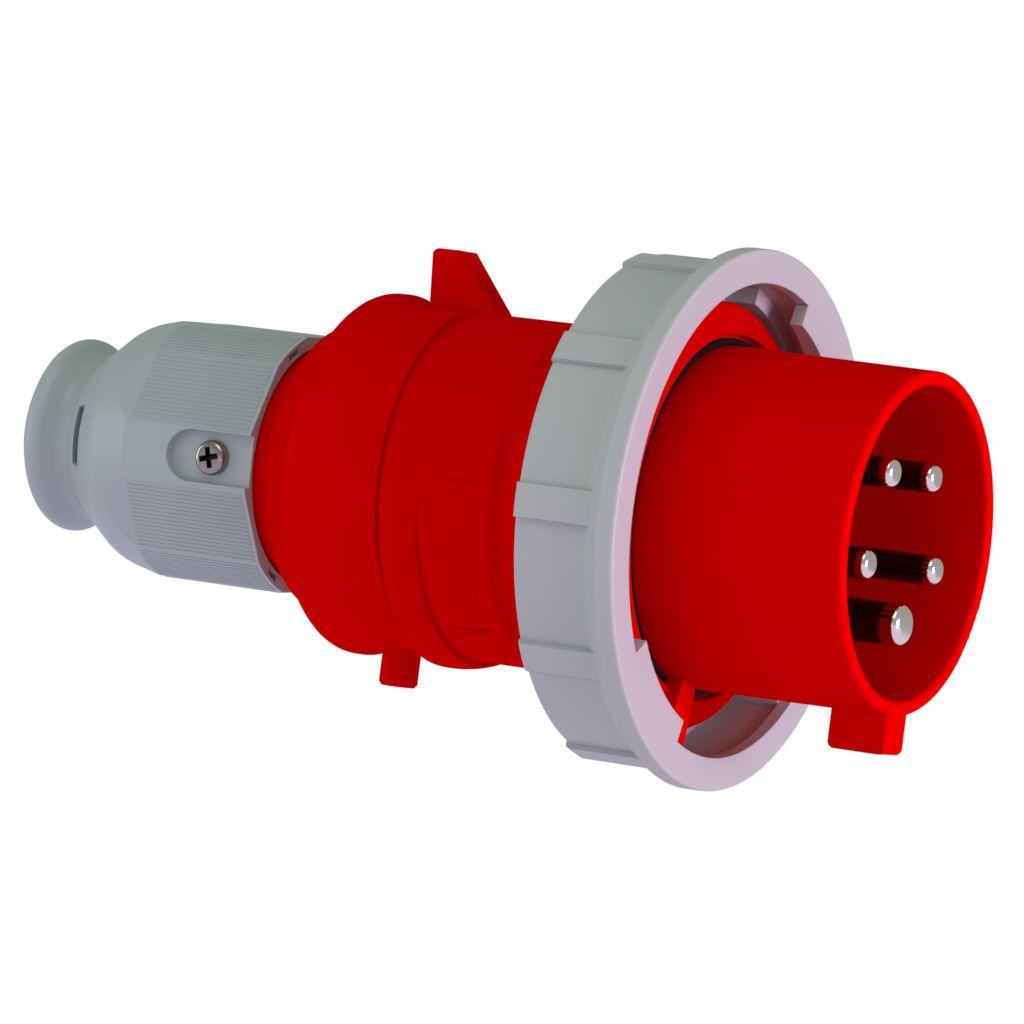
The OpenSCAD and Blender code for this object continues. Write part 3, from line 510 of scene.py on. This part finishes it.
finish_piece(cord, "plug", black_rubber, "face_gasket")
angles = [math.degrees(math.atan2(v.co.z, v.co.y)) % 360 for v in cord.data.vertices]
print("the cord's ends lie at", round(max(a for a in angles if a < LUG_ANGLE), 1), "and",
      round(min(a for a in angles if a > LUG_ANGLE), 1), "degrees")

# %% [markdown]
# ## Lip in the seam
# Where the front shell meets the rear housing, the real seam is a shallow groove and not a deep
# slit, because a thin lip stands in it. The lip is an open tube that two modifiers make thick
# and round at its edges.

# %% Make the lip
SEAM_X, SEAM_GAP = 84.5, 0.9              # where the seam starts and how wide it is
LIP_R, LIP_DEPTH, LIP_ROUND, LIP_CLEAR = 29.15, 1.0, 0.25, 0.03
deselect()
bpy.ops.mesh.primitive_cylinder_add(vertices=180, radius=LIP_R * MM,
                                    depth=(SEAM_GAP - 2 * LIP_CLEAR) * MM, end_fill_type="NOTHING",
                                    location=(-(SEAM_X + SEAM_GAP / 2) * MM, 0, 0),
                                    rotation=(0, math.radians(90), 0))
lip = bpy.context.object
lip.name = "seam_lip"
bpy.ops.object.transform_apply(location=True, rotation=True, scale=True)
thick = lip.modifiers.new("thickness", "SOLIDIFY")
thick.thickness, thick.offset = LIP_DEPTH * MM, -1
soft = lip.modifiers.new("round edges", "BEVEL")
soft.width, soft.segments = LIP_ROUND * MM, 3
for step in (thick.name, soft.name):
    bpy.ops.object.modifier_apply(modifier=step)
bpy.ops.object.shade_smooth_by_angle(angle=math.radians(35))
finish_piece(lip, "plug", red_polyamide)
print("lip radius in mm:", round(max(v.co.y for v in lip.data.vertices) / MM, 2))

# %% [markdown]
# ## Grip ridges of the gland nut
# The nut is turned by hand before a spanner closes it, so its flats carry fine ridges along the
# plug. One ridge is a long bar with round edges that sinks halfway into the flat. An array makes
# one flat of them, and five turned copies fill the other flats. The round corners carry ridges
# too, apart from the one with the lock screw, and there a bar is copied and turned step by step.

# %% Sizes of the ridges, and one ridge
FLAT_R, FLAT_HALF = 21.9, 6.5             # distance of a flat from the axis, half its width
FIRST_FLAT, FLAT_STEP = 33, 60            # angle of the first flat and from flat to flat
RIDGE_PITCH, RIDGE_W, RIDGE_H, RIDGE_ROUND = 0.8, 0.5, 0.24, 0.13
RIDGE_LENGTH = 23.4                       # on a flat
RIDGE_START, RIDGE_END = 0.8, 0.4         # smooth rims left at both ends
CORNER_STEP, CORNER_SIDE = 2.0, 5         # degrees between ridges on a corner, ridges a side
nut_low, nut_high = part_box("gland_nut")
ridge_front = -nut_high[0] / MM + RIDGE_START
count = int(2 * FLAT_HALF / RIDGE_PITCH) + 1


def ridge(length, radius, aside=0):
    """One ridge on top of the nut: a long bar with round edges, half sunk in the surface."""
    deselect()
    bpy.ops.mesh.primitive_cube_add(size=1)
    made = bpy.context.object
    made.scale = (length * MM, RIDGE_W * MM, RIDGE_H * MM)
    bpy.ops.object.transform_apply(location=True, rotation=True, scale=True)
    bpy.ops.object.mode_set(mode="EDIT")
    bpy.ops.mesh.select_all(action="SELECT")
    bpy.ops.mesh.bevel(offset=RIDGE_ROUND * MM, segments=3, profile=0.5)
    bpy.ops.transform.translate(
        value=(-(ridge_front + length / 2) * MM, aside * MM, radius * MM))
    bpy.ops.object.mode_set(mode="OBJECT")
    return made


def copies(piece, number):
    """The piece and its copies, each with a mesh of its own."""
    made = [piece]
    for _ in range(number - 1):
        deselect()
        piece.select_set(True)
        bpy.context.view_layer.objects.active = piece
        bpy.ops.object.duplicate(linked=False)
        made.append(bpy.context.object)
    return made


print("ridges on a flat:", count)

# %% Ridges on the six flats and on the corners beside them
ridges = ridge(RIDGE_LENGTH, FLAT_R, -RIDGE_PITCH * (count - 1) / 2)
ridges.name = "nut_grip_ridges"
row = ridges.modifiers.new("row", "ARRAY")
row.use_relative_offset, row.use_constant_offset = False, True
row.constant_offset_displace = (0, RIDGE_PITCH * MM, 0)
row.count = count
bpy.ops.object.modifier_apply(modifier=row.name)
flats = copies(ridges, 6)
for i, flat in enumerate(flats):
    flat.rotation_euler = (math.radians(FIRST_FLAT - 90 + FLAT_STEP * i), 0, 0)

nut = frame["nodes"]["gland_nut"]
corner_r = (nut_high[1] - nut_low[1]) / 2 / MM
nut_points = [nut.matrix_world @ v.co / MM for v in nut.data.vertices]
corner_rear = max(-p.x for p in nut_points if math.hypot(p.y, p.z) > corner_r - 0.02)
corners = [FIRST_FLAT + FLAT_STEP * (i + 0.5) for i in range(6)]
turns = [corner + CORNER_STEP * k for corner in corners if abs(corner - SCREW_ANGLE) > FLAT_STEP / 2
         for k in range(-CORNER_SIDE, CORNER_SIDE + 1)]
bars = copies(ridge(corner_rear - ridge_front - RIDGE_END, corner_r), len(turns))
for bar, angle in zip(bars, turns):
    bar.rotation_euler = (math.radians(angle - 90), 0, 0)

deselect()
for piece in flats + bars:
    piece.select_set(True)
bpy.context.view_layer.objects.active = ridges
bpy.ops.object.transform_apply(location=True, rotation=True, scale=True)
bpy.ops.object.join()
bpy.ops.object.shade_smooth_by_angle(angle=math.radians(40))
finish_piece(ridges, "plug", gland_polyamide)
print("ridges:", 6 * count + len(turns), "and the corners end at", round(corner_rear, 1), "mm")
